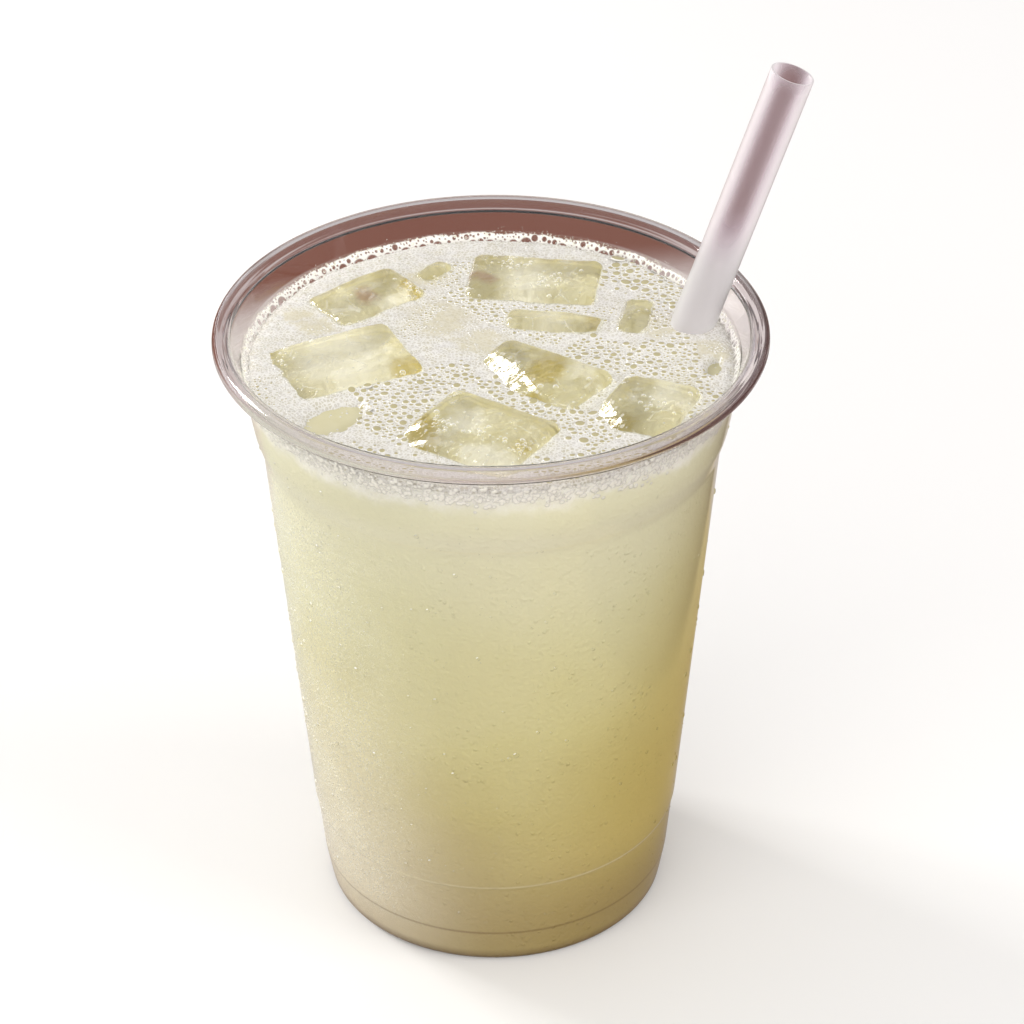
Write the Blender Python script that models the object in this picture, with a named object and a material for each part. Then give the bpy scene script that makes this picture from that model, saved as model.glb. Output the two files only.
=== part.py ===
"""A clear takeaway cup of iced sugarcane juice: a thin turned cup with a rolled rim, the cloudy juice
in it, the froth and ice on top and a wide drinking straw that leans to the right. Metres, +Z up.
The origin is the middle of the underside of the cup, and +Y is away from the viewer."""

import math

import bmesh
import bpy
from mathutils import Matrix, Vector, noise

MM = 0.001
GAP = 0.3 * MM  # left between neighbours that touch

# The cup: one sheet of clear plastic, drawn into a mould and rolled at the rim
CUP_HEIGHT = 118 * MM
RIM_RADIUS = 49 * MM
SHEET = 0.6 * MM
BEAD = 3.4 * MM  # across the rolled rim
CURL_END = -115  # degrees round the bead where the rolled edge stops, short of the wall
CURL_STEPS = 10
GROOVE = 1.2 * MM  # depth of the ring pressed into the underside
GROOVE_OUT, GROOVE_IN, GROOVE_SLOPE = 25 * MM, 11 * MM, 1.4 * MM
HEEL_ROUND, HEEL_STEPS = 1.6 * MM, 3
# Radius and height of the wall's corners: heel, heel band, stacking step, shoulder, lip
WALL = [
    (31.5 * MM, 1.6 * MM),
    (32.5 * MM, 7.3 * MM),
    (33.6 * MM, 18.5 * MM),
    (33.95 * MM, 19.1 * MM),
    (40.85 * MM, 95.5 * MM),
    (42.25 * MM, 100 * MM),
    (44.4 * MM, 112 * MM),
]
CUP_SIDES = 48

# The drink
JUICE_LEVEL = 110.5 * MM
FROTH_TOP = 112 * MM
FROTH_LUMP = 0.5 * MM  # height of its unevenness
FROTH_LUMP_SIZE = 3 * MM
FROTH_CLIMB = 0.8 * MM  # how far it climbs the wall
FROTH_EDGE = 40.5 * MM  # radius where it starts to climb
FROTH_CELL = 2.8 * MM
BARE_SIDES = 14
# Gaps in the froth where bare juice shows: centre x and y, length and width in mm, turn in degrees
BARE_JUICE = ((-26.6, -21.0, 10.5, 7.5, 40), (39.0, -4.4, 7.5, 3.6, 80))

# The straw
STRAW_RADIUS = 3.9 * MM
STRAW_WALL = 0.4 * MM
STRAW_MIDDLE = Vector((35.9, 10.3, 111.0)) * MM  # where its axis meets the froth
STRAW_LEAN = Vector((0.3275, 0.0, 1.0))  # towards the right
STRAW_FOOT, STRAW_TOP = 3.3 * MM, 160.8 * MM  # heights of the ends of its axis
STRAW_SIDES = 24

# The ice: centre x and y, length, width in mm, turn in degrees, height of the top and depth in mm
ICE = {
    "ice_left": (-26.3, -2.7, 25.0, 19.0, 25, 112.9, 15),
    "ice_back_left": (-22.2, 20.2, 20.0, 13.2, 38, 112.7, 13),
    "ice_back": (8.0, 25.9, 24.8, 17.0, -8, 112.8, 15),
    "ice_middle": (11.6, 10.8, 18.8, 7.6, -9, 112.5, 12),
    "ice_centre": (8.6, -8.0, 23.0, 14.0, -36, 113.6, 17),
    "ice_front": (-2.0, -27.2, 22.5, 19.0, -34, 113.5, 15),
    "ice_right": (26.8, -19.0, 14.8, 17.6, -23, 113.4, 15),
    "ice_by_straw": (25.9, 12.8, 6.6, 13.0, -10, 112.4, 7),
    "ice_back_gap": (-10.2, 29.8, 8.4, 6.0, 47, 112.4, 11),
}
ICE_ROUND = 1.8 * MM
ICE_TAPER = 0.86  # width at the bottom over that at the top
ICE_DOME = 0.4 * MM
ICE_MELT = 0.5 * MM  # how far melting has moved the faces
ICE_MELT_SIZE = 9 * MM


def material(name, colour, roughness, alpha=1.0):
    made = bpy.data.materials.new(name)
    made.use_nodes = True
    shader = made.node_tree.nodes["Principled BSDF"]
    shader.inputs["Base Color"].default_value = (*colour, 1)
    shader.inputs["Roughness"].default_value = roughness
    shader.inputs["Metallic"].default_value = 0
    shader.inputs["Alpha"].default_value = alpha
    return made


def new_object(name, shape, finish=None):
    """Turns a bmesh into a named, smooth-shaded object. Without a finish it is a hidden cutter."""
    bmesh.ops.recalc_face_normals(shape, faces=shape.faces)
    mesh = bpy.data.meshes.new(name)
    shape.to_mesh(mesh)
    shape.free()
    made = bpy.data.objects.new(name, mesh)
    bpy.context.scene.collection.objects.link(made)
    if finish is None:
        made.hide_render = True
        made.display_type = "WIRE"
    else:
        mesh.materials.append(finish)
        mesh.shade_smooth()
        mesh.set_sharp_from_angle(angle=math.radians(35))
    return made


def turned(profile, sides, closed=False):
    """Turns (radius, height) points about Z. A point at radius 0 becomes one vertex."""
    shape = bmesh.new()
    rings = []
    for radius, height in profile:
        angles = [2 * math.pi * i / sides for i in range(sides if radius > 0 else 1)]
        ring = [shape.verts.new((radius * math.cos(a), radius * math.sin(a), height)) for a in angles]
        rings.append(ring if radius > 0 else ring * sides)
    followers = rings[1:] + rings[:1] if closed else rings[1:]
    for lower, upper in zip(rings, followers):
        for i in range(sides):
            corners = (lower[i - 1], lower[i], upper[i], upper[i - 1])
            shape.faces.new(tuple(dict.fromkeys(corners)))
    return shape


def arc(centre, radius, start, end, steps):
    """Points of (radius, height) about a centre, between two angles in degrees."""
    angles = [math.radians(start + (end - start) * i / steps) for i in range(steps + 1)]
    return [(centre[0] + radius * math.cos(a), centre[1] + radius * math.sin(a)) for a in angles]


def wall_radius(height, inset):
    """Radius of the wall at a height; an inset of 0 is its outer side."""
    for (low_radius, low), (high_radius, high) in zip(WALL, WALL[1:]):
        if height <= high:
            share = (height - low) / (high - low)
            return low_radius + share * (high_radius - low_radius) - inset
    return WALL[-1][0] - inset


def base_profile(inset):
    """The base, from the axis out to the heel, moved inwards and upwards by the inset."""
    ring = [
        (0, 0),
        (GROOVE_IN, 0),
        (GROOVE_IN + GROOVE_SLOPE, GROOVE),
        (GROOVE_OUT - GROOVE_SLOPE, GROOVE),
        (GROOVE_OUT, 0),
    ]
    heel_radius, heel_height = WALL[0]
    heel = arc((heel_radius - HEEL_ROUND, heel_height), HEEL_ROUND - inset, -90, 0, HEEL_STEPS)
    return [(radius, height + inset) for radius, height in ring] + heel


def side_profile(inset, top):
    """The wall from just above the heel up to a height."""
    corners = [height for _, height in WALL[1:] if height < top] + [top]
    return [(wall_radius(height, inset), height) for height in corners]


def make_cup(finish):
    lip = WALL[-1][1]
    bead = (RIM_RADIUS - BEAD / 2, CUP_HEIGHT - BEAD / 2)
    outside = base_profile(0) + side_profile(0, lip)
    hollow_of_bead = arc(bead, BEAD / 2 - SHEET, 180, CURL_END, CURL_STEPS // 2 + 1)
    skin_of_bead = arc(bead, BEAD / 2, CURL_END, 180, CURL_STEPS)
    inside = base_profile(SHEET) + side_profile(SHEET, lip)
    return new_object("cup", turned(outside + hollow_of_bead + skin_of_bead + inside[::-1], CUP_SIDES), finish)


def place_along_straw(obj, height):
    """Stands an object that was made along Z on the straw's axis, at a height."""
    obj.location = STRAW_MIDDLE + STRAW_LEAN * (height - STRAW_MIDDLE.z)
    obj.rotation_euler = STRAW_LEAN.to_track_quat("Z", "Y").to_euler()
    return obj


def tube(outer, inner, length):
    ring = [(outer, 0), (outer, length), (inner, length), (inner, 0)]
    return turned(ring, STRAW_SIDES, closed=True)


def make_straw(finish):
    length = (STRAW_TOP - STRAW_FOOT) * STRAW_LEAN.length
    straw = new_object("straw", tube(STRAW_RADIUS, STRAW_RADIUS - STRAW_WALL, length), finish)
    return place_along_straw(straw, STRAW_FOOT)


def straw_cutter(name, inner):
    """Room for the straw's wall, or for the whole straw where inner is 0, as a closed shape."""
    reach = (JUICE_LEVEL + 20 * MM - STRAW_FOOT) * STRAW_LEAN.length
    outer = STRAW_RADIUS + GAP
    if inner:
        shape = tube(outer, inner, reach)
    else:
        shape = turned([(0, 0), (outer, 0), (outer, reach), (0, reach)], STRAW_SIDES)
    return place_along_straw(new_object(name, shape), STRAW_FOOT - GAP)


def melted_block(length, width, depth, seed, grow):
    """A rounded, tapered block whose top is at height 0, grown by a margin on every side."""
    shape = bmesh.new()
    bmesh.ops.create_cube(shape, size=2)
    bmesh.ops.subdivide_edges(shape, edges=shape.edges[:], cuts=3, use_grid_fill=True)
    half = Vector((length, width, depth)) / 2
    for vert in shape.verts:
        inner, outer = Vector(), Vector()
        for axis in range(3):
            core = half[axis] - ICE_ROUND
            steps = round(vert.co[axis] * 2)
            inner[axis] = core * max(-1, min(1, steps))
            outer[axis] = (abs(steps) == 2) * math.copysign(1, steps)
        outer.normalize()
        rise = inner.z / (half.z - ICE_ROUND)
        spread = ICE_TAPER + (1 - ICE_TAPER) * (1 + rise) / 2
        place = inner + outer * (ICE_ROUND + grow)
        place.x *= spread
        place.y *= spread
        if rise > 0:
            dome = (1 - (inner.x / half.x) ** 2) * (1 - (inner.y / half.y) ** 2)
            place.z += ICE_DOME * dome
        wobble = noise.noise_vector(inner / ICE_MELT_SIZE + Vector((seed * 7.3, seed * 3.1, 0)))
        vert.co = place + wobble * ICE_MELT - Vector((0, 0, half.z))
    return shape


def place_ice(obj, row):
    obj.location = Vector((row[0], row[1], row[5])) * MM
    obj.rotation_euler = (0, 0, math.radians(row[4]))
    return obj


def make_ice(finish, cutters):
    """Each piece of ice, with a cutter a gap larger that makes room for it in the drink."""
    for seed, (name, row) in enumerate(ICE.items()):
        size = [row[2] * MM, row[3] * MM, row[6] * MM]
        place_ice(new_object(name, melted_block(*size, seed, 0), finish), row)
        room = place_ice(new_object(name + "_room", melted_block(*size, seed, GAP)), row)
        cutters.objects.link(room)


def boolean(obj, operation, other):
    cut = obj.modifiers.new(operation.lower(), "BOOLEAN")
    cut.operation = operation
    cut.solver = "EXACT"
    if isinstance(other, bpy.types.Collection):
        cut.operand_type = "COLLECTION"
        cut.collection = other
    else:
        cut.object = other


def make_juice(finish, ice_rooms):
    """All the cup holds up to the level, also inside the straw, cut round the ice and the straw."""
    inset = SHEET + GAP
    profile = base_profile(inset) + side_profile(inset, JUICE_LEVEL) + [(0, JUICE_LEVEL)]
    juice = new_object("juice", turned(profile, CUP_SIDES), finish)
    boolean(juice, "DIFFERENCE", ice_rooms)
    boolean(juice, "DIFFERENCE", straw_cutter("straw_wall_room", STRAW_RADIUS - STRAW_WALL - GAP))
    return juice


def lumpy_slab(half, cell, bottom):
    """A square slab whose top rises and falls as froth does."""
    shape = bmesh.new()
    count = math.ceil(2 * half / cell)
    bmesh.ops.create_grid(shape, x_segments=count, y_segments=count, size=half)
    rim = [edge for edge in shape.edges if edge.is_boundary]
    for vert in shape.verts:
        lump = noise.noise(vert.co / FROTH_LUMP_SIZE)
        edge_share = max(0.0, vert.co.length - FROTH_EDGE) / (half - FROTH_EDGE)
        vert.co.z = FROTH_TOP + FROTH_LUMP * lump + FROTH_CLIMB * min(1.0, edge_share)
    skirt = bmesh.ops.extrude_edge_only(shape, edges=rim)["geom"]
    low = [item for item in skirt if isinstance(item, bmesh.types.BMVert)]
    for vert in low:
        vert.co.z = bottom
    bmesh.ops.contextual_create(shape, geom=[e for e in shape.edges if e.is_boundary])
    return shape


def make_froth(finish, ice_rooms):
    """The froth that floats on the juice, inside the wall and round the ice and the straw."""
    bottom = JUICE_LEVEL + GAP
    inset = SHEET + GAP
    outer = wall_radius(WALL[-1][1], inset)
    froth = new_object("froth", lumpy_slab(outer + FROTH_CELL, FROTH_CELL, bottom), finish)
    wall = [(wall_radius(bottom - MM, inset), bottom - MM), (outer, WALL[-1][1]), (outer, CUP_HEIGHT)]
    within = new_object("froth_limit", turned([(0, bottom - MM)] + wall + [(0, CUP_HEIGHT)], CUP_SIDES))
    boolean(froth, "INTERSECT", within)
    boolean(froth, "DIFFERENCE", ice_rooms)
    boolean(froth, "DIFFERENCE", straw_cutter("straw_room", 0))
    for number, (x, y, length, width, turn) in enumerate(BARE_JUICE):
        window = turned([(0, -1), (1, -1), (1, 1), (0, 1)], BARE_SIDES)
        size = Matrix.Diagonal((length / 2 * MM, width / 2 * MM, CUP_HEIGHT - FROTH_TOP, 1))
        turn_and_size = Matrix.Rotation(math.radians(turn), 4, "Z") @ size
        bmesh.ops.transform(window, matrix=turn_and_size, verts=window.verts)
        cutter = new_object(f"bare_juice_{number}", window)
        cutter.location = (x * MM, y * MM, FROTH_TOP)
        boolean(froth, "DIFFERENCE", cutter)
    return froth


def main():
    noise.seed_set(1)
    for old in list(bpy.data.objects):
        bpy.data.objects.remove(old)
    ice_rooms = bpy.data.collections.new("ice_rooms")
    make_cup(material("clear_plastic", (0.93, 0.91, 0.92), 0.05, 0.3))
    make_straw(material("milky_plastic", (0.86, 0.84, 0.87), 0.25, 0.75))
    make_ice(material("ice", (0.88, 0.87, 0.74), 0.08, 0.6), ice_rooms)
    make_juice(material("cane_juice", (0.74, 0.68, 0.42), 0.15), ice_rooms)
    make_froth(material("froth", (0.9, 0.88, 0.78), 0.4), ice_rooms)


main()
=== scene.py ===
# %% [markdown]
# # Iced sugarcane juice in a clear takeaway cup
# A lesson in dressing a plain solid model. The solids say where each thing is and how large it is: the cup,
# the juice, the froth, the ice and the straw. This script gives each one the surface that the eye expects:
# thin clear plastic, cloudy liquid, wet ice, and froth made of thousands of small bubbles.
# The frame is loaded first, and nothing in it is moved. Every new piece is measured from it.

# %% Load the solid model
import math

import bmesh
import bpy
import numpy as np
from mathutils import Matrix, Vector, noise
from mathutils.bvhtree import BVHTree


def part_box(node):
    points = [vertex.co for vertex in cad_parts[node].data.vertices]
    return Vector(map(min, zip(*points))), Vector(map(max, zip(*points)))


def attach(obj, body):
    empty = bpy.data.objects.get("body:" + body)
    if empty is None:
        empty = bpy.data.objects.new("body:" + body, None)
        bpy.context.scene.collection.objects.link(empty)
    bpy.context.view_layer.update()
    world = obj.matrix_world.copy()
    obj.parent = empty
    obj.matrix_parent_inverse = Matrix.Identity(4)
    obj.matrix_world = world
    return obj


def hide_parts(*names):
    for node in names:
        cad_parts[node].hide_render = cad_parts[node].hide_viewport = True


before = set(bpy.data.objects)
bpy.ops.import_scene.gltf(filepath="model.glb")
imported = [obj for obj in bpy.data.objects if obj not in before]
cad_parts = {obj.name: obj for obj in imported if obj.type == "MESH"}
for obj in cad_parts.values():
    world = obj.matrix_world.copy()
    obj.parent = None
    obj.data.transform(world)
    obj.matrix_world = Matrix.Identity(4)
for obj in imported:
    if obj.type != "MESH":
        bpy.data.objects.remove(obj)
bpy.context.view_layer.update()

MM = 0.001
SEED = 7
noise.seed_set(SEED)
ICE_NAMES = sorted(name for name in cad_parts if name.startswith("ice_"))
print("solids:", ", ".join(sorted(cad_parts)))

# %% [markdown]
# ## Shader maths as plain Python
# A finish is a small network of nodes. Written node by node it is long and hard to read. One class wraps an
# output of a node and lets Python's operators and a few methods add the nodes that work on it. A second one
# holds the material. Its `node` method makes any node: first the settings, then the values or links of its
# sockets.

# %% Two small classes for finishes
class Signal:
    """A value that flows between nodes. An operator on it adds the node that works it out."""

    def __init__(self, finish, socket):
        self.finish, self.socket = finish, socket

    def joined(self, operation, first, second, output=0):
        vector = any(isinstance(part, tuple) or isinstance(part, Signal) and part.socket.type != "VALUE"
                     for part in (first, second))
        kind = "VectorMath" if vector else "Math"
        return self.finish.node(kind, {"operation": operation}, {0: first, 1: second}, output)

    def __add__(self, other):
        return self.joined("ADD", self, other)

    def __sub__(self, other):
        return self.joined("SUBTRACT", self, other)

    def __rsub__(self, other):
        return self.joined("SUBTRACT", other, self)

    def __mul__(self, other):
        return self.joined("MULTIPLY", self, other)

    def distance(self, other):
        return self.joined("DISTANCE", self, other, "Value")

    def dot(self, way):
        return self.joined("DOT_PRODUCT", self, tuple(way), "Value")

    def axis(self, name):
        return self.finish.node("SeparateXYZ", {}, {0: self}, name)

    def span(self, low, high, to_low=0.0, to_high=1.0):
        """Moves the value from one range to another, with soft ends."""
        inputs = {"Value": self, "From Min": low, "From Max": high, "To Min": to_low, "To Max": to_high}
        return self.finish.node("MapRange", {"interpolation_type": "SMOOTHSTEP"}, inputs)

    def line_at(self, middle, half):
        """1 where the value is near a middle, falling to 0 at a distance of half."""
        return self.span(middle - half, middle) * self.span(middle + half, middle)

    def mix(self, first, second):
        """The first colour where the value is 0, and the second where it is 1."""
        return self.finish.node("Mix", {"data_type": "RGBA"}, {"Factor": self, 6: first, 7: second}, 2)

    def blend(self, first, second):
        """The same for two shaders."""
        return self.finish.node("MixShader", {}, {0: self, 1: first, 2: second})


class Finish:
    """A material with one main shader, and the methods that add nodes to it."""

    def __init__(self, name, **sockets):
        self.material = bpy.data.materials.new(name)
        self.material.use_nodes = True
        self.tree = self.material.node_tree
        self.surface = self.tree.nodes["Principled BSDF"]
        self.own = Signal(self, self.surface.outputs[0])
        self.wear(**sockets)

    def wear(self, **sockets):
        """Feeds values or signals to sockets of the main shader, named with _ for a space."""
        for socket, value in sockets.items():
            self.feed(self.surface.inputs[socket.replace("_", " ")], value)

    def feed(self, socket, value):
        if isinstance(value, Signal):
            self.tree.links.new(value.socket, socket)
        elif socket.type == "RGBA" and len(value) == 3:
            socket.default_value = (*value, 1)
        elif socket.type == "VECTOR" and not isinstance(value, tuple):
            socket.default_value = (value, value, value)
        else:
            socket.default_value = value

    def node(self, kind, settings=None, inputs=None, output=0):
        made = self.tree.nodes.new("ShaderNode" + kind)
        for setting, value in (settings or {}).items():
            setattr(made, setting, value)
        for socket, value in (inputs or {}).items():
            self.feed(made.inputs[socket], value)
        return Signal(self, made.outputs[output])

    def ramp(self, value, *stops):
        """A colour for every value from 0 to 1, given at some stops."""
        made = self.node("ValToRGB", {}, {0: value})
        elements = made.socket.node.color_ramp.elements
        while len(elements) < len(stops):
            elements.new(0.5)
        for element, (position, colour) in zip(elements, stops):
            element.position, element.color = position, (*colour, 1)
        return made

    def place(self):
        """Where a point of the surface is, in millimetres."""
        return self.node("TexCoord", output="Object") * (1000.0, 1000.0, 1000.0)

    def normal(self):
        return self.node("NewGeometry", output="Normal")

    def attribute(self, name):
        return self.node("Attribute", {"attribute_name": name}, output="Fac")

    def turned_away(self):
        """0 where the surface faces the eye, rising to 1 where it is seen edge on."""
        return self.node("LayerWeight", {}, {"Blend": 0.5}, "Facing")

    def ray(self, kind):
        """What the renderer knows about the ray that has come to the surface."""
        return self.node("LightPath", output=kind)

    def cloud(self, size, detail=2.0, roughness=0.5, place=None):
        """Soft noise from 0 to 1, with lumps of a size in millimetres."""
        return self.node("TexNoise", {}, {
            "Vector": place or self.place(), "Scale": 1 / size, "Detail": detail, "Roughness": roughness})

    def cells(self, size, feature="F1"):
        """Distance to the nearest of many scattered points, or to the walls between their cells."""
        return self.node("TexVoronoi", {"feature": feature}, {"Vector": self.place(), "Scale": 1 / size})

    def near(self, *spots, sway=2.5):
        """1 in the middle of any spot and 0 outside, with a wavy edge. A spot is x, y and radius in mm."""
        place = self.place() * (1.0, 1.0, 0.0)
        waves = self.node("TexNoise", {}, {"Vector": place, "Scale": 0.3, "Detail": 3.0}, "Color")
        place = place + (waves - (0.5, 0.5, 0.5)) * (2 * sway, 2 * sway, 0.0)
        found = 0.0
        for x, y, radius in spots:
            inside = place.distance((x, y, 0.0)).span(radius, 0.35 * radius)
            found = inside.joined("MAXIMUM", inside, found)
        return found

    def bump(self, height, depth):
        """Relief of a depth in millimetres."""
        self.wear(Normal=self.node("Bump", {}, {"Height": height, "Distance": depth * MM}))

    def clear(self, tint):
        return self.node("BsdfTransparent", {}, {"Color": tint})

    def dull(self, colour):
        return self.node("BsdfDiffuse", {}, {"Color": colour})

    def wet(self, colour, roughness):
        return self.node("BsdfPrincipled", {}, {
            "Base Color": colour, "Roughness": roughness, "Coat Weight": 1.0, "Coat Roughness": 0.02})

    def lets_light_in(self, tint, shader):
        """Clear things would cast full shadows, so shadow rays pass them with a tint."""
        shader = self.ray("Is Shadow Ray").blend(shader, self.clear(tint))
        self.feed(self.tree.nodes["Material Output"].inputs["Surface"], shader)


def rgb(red, green, blue):
    """A colour as a screen shows it, from 0 to 255, turned into the linear light that shaders count in."""
    def linear(part):
        part /= 255
        return part / 12.92 if part <= 0.04045 else ((part + 0.055) / 1.055) ** 2.4
    return linear(red), linear(green), linear(blue)


print("finish tools ready")

# %% [markdown]
# ## New pieces
# Most pieces here are built from lists of points and faces worked out with numpy. This helper turns such
# lists into an object with a finish, lets it ride with the drink, and hides the solids that it stands for.

# %% A helper that makes a piece
def new_piece(name, points, faces, finish, slot, *stands_for, rim=None):
    """Rim is a value for each point, from 0 to 1, which the finish can read."""
    mesh = bpy.data.meshes.new(name)
    mesh.from_pydata(np.asarray(points).tolist(), [], [list(face) for face in faces])
    mesh.shade_smooth()
    mesh.materials.append(finish.material)
    if rim is not None:
        mesh.attributes.new("rim", "FLOAT", "POINT").data.foreach_set("value", np.asarray(rim, np.float32))
    return adopt(bpy.data.objects.new(name, mesh), slot, *stands_for)


def adopt(piece, slot, *stands_for):
    """Shows an object, as part of the drink, and hides the solids that it stands for."""
    bpy.context.scene.collection.objects.link(piece)
    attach(piece, "root")
    if stands_for:
        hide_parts(*stands_for)
    print(f"{piece.name}: {len(piece.data.polygons)} faces")
    return piece


# %% [markdown]
# ## The cup
# The real cup is one sheet of clear plastic, drawn into a mould, so every corner is slightly soft, and its
# rim is rolled into a bead. The solid has the right profile in straight steps. The profile is read off the
# solid where it crosses the XZ plane, its corners are cut twice, which rounds them, and it is turned again
# with many more sides. Reading it off the solid keeps the two in step if the solid changes.

# %% Read the cup's profile off its solid
CORNER = 0.45 * MM  # how far the rounding of a moulded corner reaches
FINE_SIDES = 192


def profile_of(node):
    """The line of (radius, height) points where a turned solid crosses the XZ plane, from the axis out."""
    shape = bmesh.new()
    shape.from_mesh(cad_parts[node].data)
    bmesh.ops.remove_doubles(shape, verts=shape.verts, dist=0.001 * MM)
    cut = {v for v in shape.verts if abs(v.co.y) < 0.001 * MM and v.co.x > -0.001 * MM}
    line = [min(cut, key=lambda v: (round(v.co.x / MM, 3), v.co.z))]
    while True:
        ways = [e.other_vert(line[-1]) for e in line[-1].link_edges]
        ways = [v for v in ways if v in cut and v not in line]
        if not ways:
            break
        line.append(min(ways, key=lambda v: (v.co - line[-1].co).length))
    points = [(v.co.x, v.co.z) for v in line]
    shape.free()
    return np.array([(0, points[0][1]), *points, (0, points[-1][1])])


def soften(profile, reach):
    """Cuts every corner of a line, by at most a reach and a third of the sides that meet there."""
    points = [profile[0]]
    for before, corner, after in zip(profile, profile[1:], profile[2:]):
        for end in (before, after):
            side = end - corner
            points.append(corner + side * min(1 / 3, reach / np.linalg.norm(side)))
    return np.array(points + [profile[-1]])


cup_profile = soften(soften(profile_of("cup"), CORNER), CORNER / 3)
print(len(cup_profile), "points, rim at", (cup_profile.max(0) / MM).round(1), "mm")

# %% [markdown]
# Clear plastic is a Principled shader with full transmission. A faint wave in its surface bends the
# reflections as thin drawn sheet does. Light has to reach the juice through it, and a ray tracer finds that
# hard through glass, so shadow rays pass straight through. On the left the plastic is misted: a thin grainy
# veil, finer than the drops that are added later, is mixed in.

# %% Turn the cup and give it clear plastic
def stitched(grid):
    """Points of a grid of closed rings, and the faces between the rings."""
    rings, sides = grid.shape[:2]
    faces = [(low + i, low + sides + i, low + sides + (i + 1) % sides, low + (i + 1) % sides)
             for low in range(0, (rings - 1) * sides, sides) for i in range(sides)]
    return grid.reshape(-1, 3), faces


def turned(profile, sides=FINE_SIDES):
    """Points and faces of a profile turned about Z. Points on the axis fall together and are merged later."""
    angles = np.arange(sides) * 2 * math.pi / sides
    radius, height = profile.T
    points, faces = stitched(np.stack([
        np.outer(radius, np.cos(angles)), np.outer(radius, np.sin(angles)),
        np.repeat(height[:, None], sides, 1),
    ], 2))
    return points, [(a, d, c, b) for a, b, c, d in faces]


def clean(piece):
    """Merges points that fall together, which drops faces without area, and turns the faces outwards."""
    shape = bmesh.new()
    shape.from_mesh(piece.data)
    bmesh.ops.remove_doubles(shape, verts=shape.verts, dist=0.005 * MM)
    bmesh.ops.recalc_face_normals(shape, faces=shape.faces)
    shape.to_mesh(piece.data)
    shape.free()
    piece.data.shade_smooth()
    return piece


clear_plastic = Finish(
    "clear_plastic", Base_Color=rgb(248, 245, 246), Roughness=0.03, IOR=1.5, Transmission_Weight=1.0)
clear_plastic.bump(clear_plastic.cloud(7, 1), 0.05)
place = clear_plastic.place()
height = place.axis("Z")
misty_side = (place.axis("X") + height * 0.08).span(0, -36)
misty_height = height.span(0, 14) * height.span(106, 88)
grains = clear_plastic.cells(0.55).span(0.45, 0.15, 0.25, 0.62)
mist = misty_side * misty_height * grains * clear_plastic.cloud(14, 2).span(0.2, 0.8, 0.6, 1.0)
veil = clear_plastic.dull(rgb(240, 240, 232))
clear_plastic.lets_light_in((1, 1, 1), mist.blend(clear_plastic.own, veil))
clean(new_piece("cup_plastic", *turned(cup_profile), clear_plastic, "clear_plastic", "cup"))

# %% [markdown]
# ## The ice
# Ice that has begun to melt keeps its blocky form, but its corners are round and its faces roll gently. The
# solids are such blocks with few faces. A voxel remesh gives each one an even skin of small faces, a Smooth
# modifier rounds its edges, and noise moves the skin a little. Some blocks have a broken or worn corner,
# made by pressing the points beyond a plane back onto it. The wavy, wet surface is what breaks the window's
# reflection into bright flecks.

# %% Refine the blocks of ice
SKIN = 0.5 * MM  # size of a face of the fine skin
WAVE, WAVE_SIZE = 0.16 * MM, 4.2 * MM
RIPPLE, RIPPLE_SIZE = 0.07 * MM, 1.4 * MM
FLAT_BEND, SHARP_BEND = 0.1, 0.2  # bend of the skin where an edge begins to count, and where it counts fully
# Worn corners: a point on the plane in millimetres and the way that the plane faces
FACETS = {
    "ice_centre": [((0.4, -0.4, 113.6), (-0.47, -0.26, 0.84))],
    "ice_front": [((-13.4, -25.4, 113.2), (-0.52, -0.19, 0.83)), ((-9.6, -19.6, 113.4), (-0.52, 0.30, 0.80))],
    "ice_right": [((19.0, -17.6, 113.2), (-0.49, -0.24, 0.83)), ((24.0, -11.0, 113.3), (-0.2, 0.5, 0.84))],
    "ice_left": [((-34.0, -4.0, 112.7), (-0.24, -0.1, 0.97))],
}


def block(node, *modifiers):
    """A mesh made from a block's solid and a list of modifiers with their settings."""
    form = bpy.data.objects.new(node + "_form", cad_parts[node].data.copy())
    bpy.context.scene.collection.objects.link(form)
    weld = form.modifiers.new("weld", "WELD")
    weld.merge_threshold = 0.001 * MM
    for kind, settings in modifiers:
        modifier = form.modifiers.new(kind, kind)
        for setting, value in settings.items():
            setattr(modifier, setting, value)
    made = bpy.data.meshes.new_from_object(form.evaluated_get(bpy.context.evaluated_depsgraph_get()))
    bpy.data.objects.remove(form)
    return made


def places(mesh):
    """Where the points of a mesh are."""
    points = np.empty(len(mesh.vertices) * 3)
    mesh.vertices.foreach_get("co", points)
    return points.reshape(-1, 3)


def normals(mesh):
    """The ways that the skin of a mesh faces at its points."""
    ways = np.empty(len(mesh.vertices) * 3, np.float32)
    mesh.vertices.foreach_get("normal", ways)
    return ways.reshape(-1, 3)


def move_to(mesh, points):
    mesh.vertices.foreach_set("co", np.asarray(points, float).ravel())
    mesh.update()


def press_facets(name, points):
    """Presses what lies beyond the planes of a block's worn corners back onto them."""
    for spot, way in FACETS.get(name, ()):
        way = np.array(way) / np.linalg.norm(way)
        beyond = np.clip((points - np.array(spot) * MM) @ way, 0, None)
        points = points - beyond[:, None] * way
    return points


def melt(points, ways):
    """Moves the points in and out by soft waves and fine ripples."""
    moved = []
    for point, way in zip(points, ways):
        shift = WAVE * noise.noise(Vector(point) / WAVE_SIZE)
        shift += RIPPLE * noise.noise(Vector(point) / RIPPLE_SIZE)
        moved.append(point + way * shift)
    return np.array(moved)


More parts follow.
